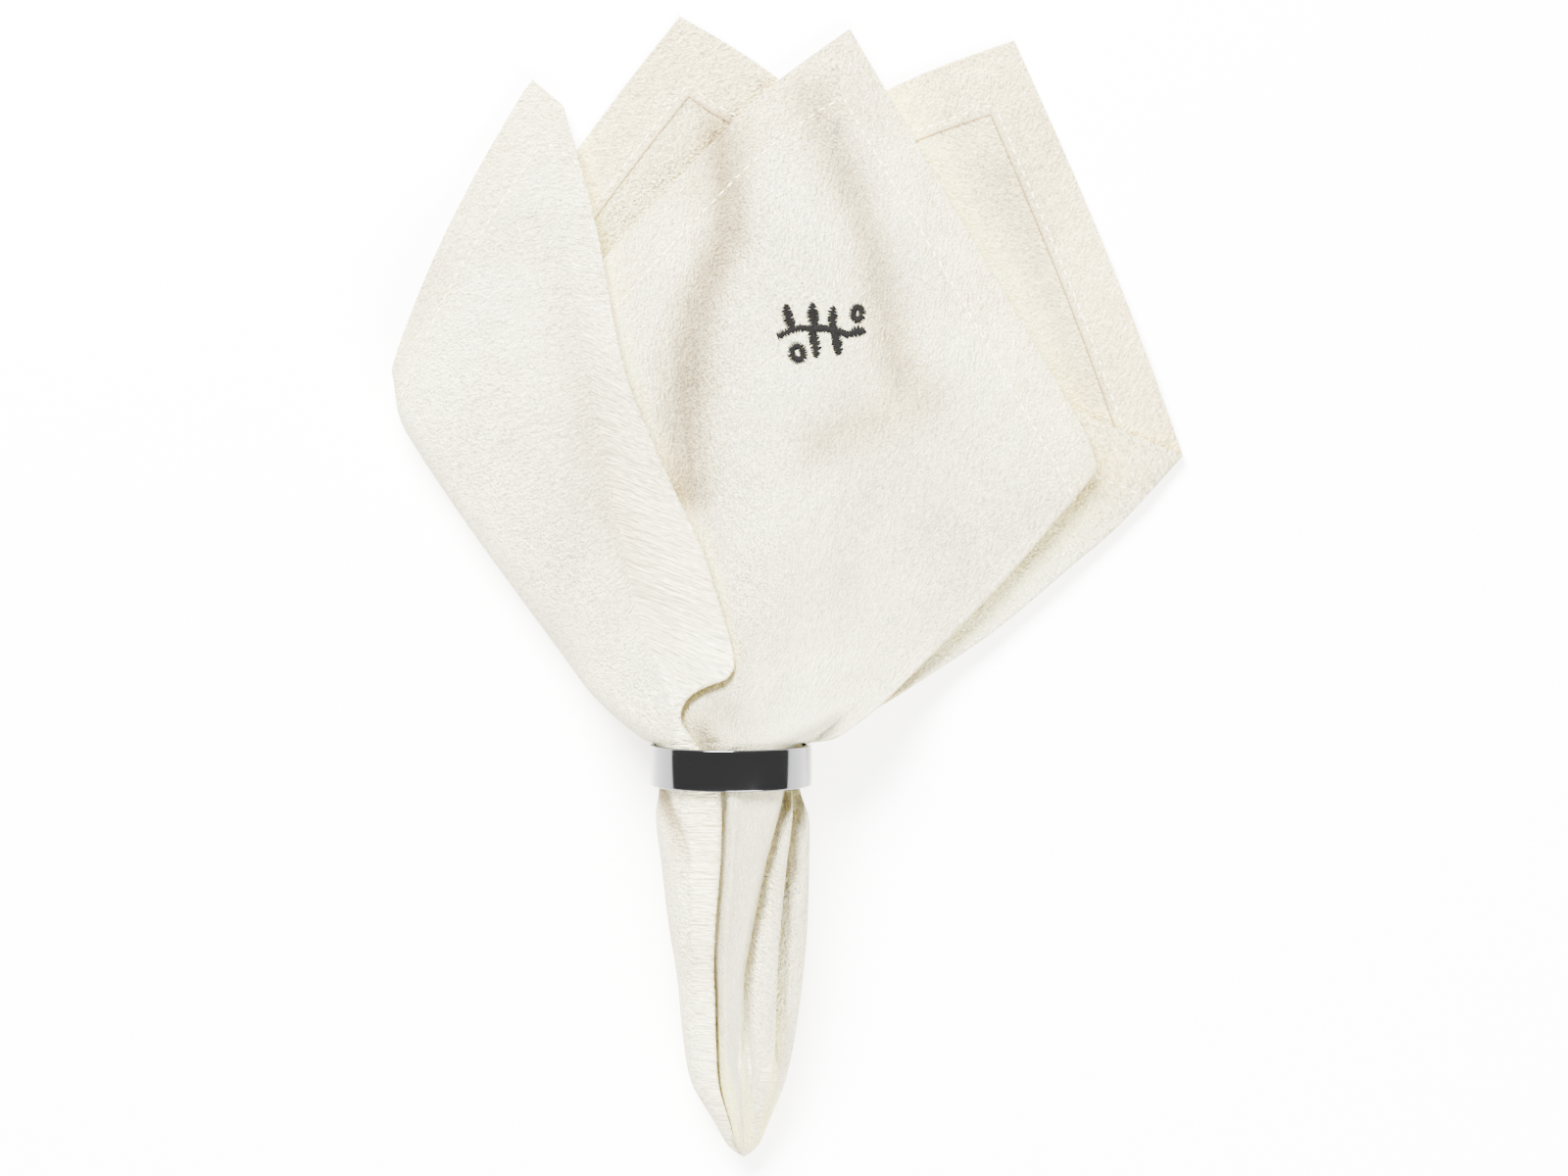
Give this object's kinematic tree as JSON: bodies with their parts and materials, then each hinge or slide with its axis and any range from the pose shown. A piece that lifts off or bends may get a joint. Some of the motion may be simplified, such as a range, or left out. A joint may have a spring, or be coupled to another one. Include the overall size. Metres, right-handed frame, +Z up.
{
  "type": "cloth napkin in a ring",
  "caption": "Square cloth napkin pinched at its middle and drawn through a polished steel ring, its corners folded out as a flat fan.",
  "frame": {"origin": "under the middle of the whole object, on the surface that it rests on", "axes": "+X across the fan, +Y along the napkin towards its fanned corners, +Z up from the surface"},
  "size_m": [0.198, 0.2844, 0.0406],
  "materials": {
    "ivory_cotton": "matte crinkled plain weave",
    "polished_steel": "mirror polish"
  },
  "bodies": {
    "root": {"napkin": "ivory_cotton", "ring": "polished_steel"}
  },
  "joints": []
}
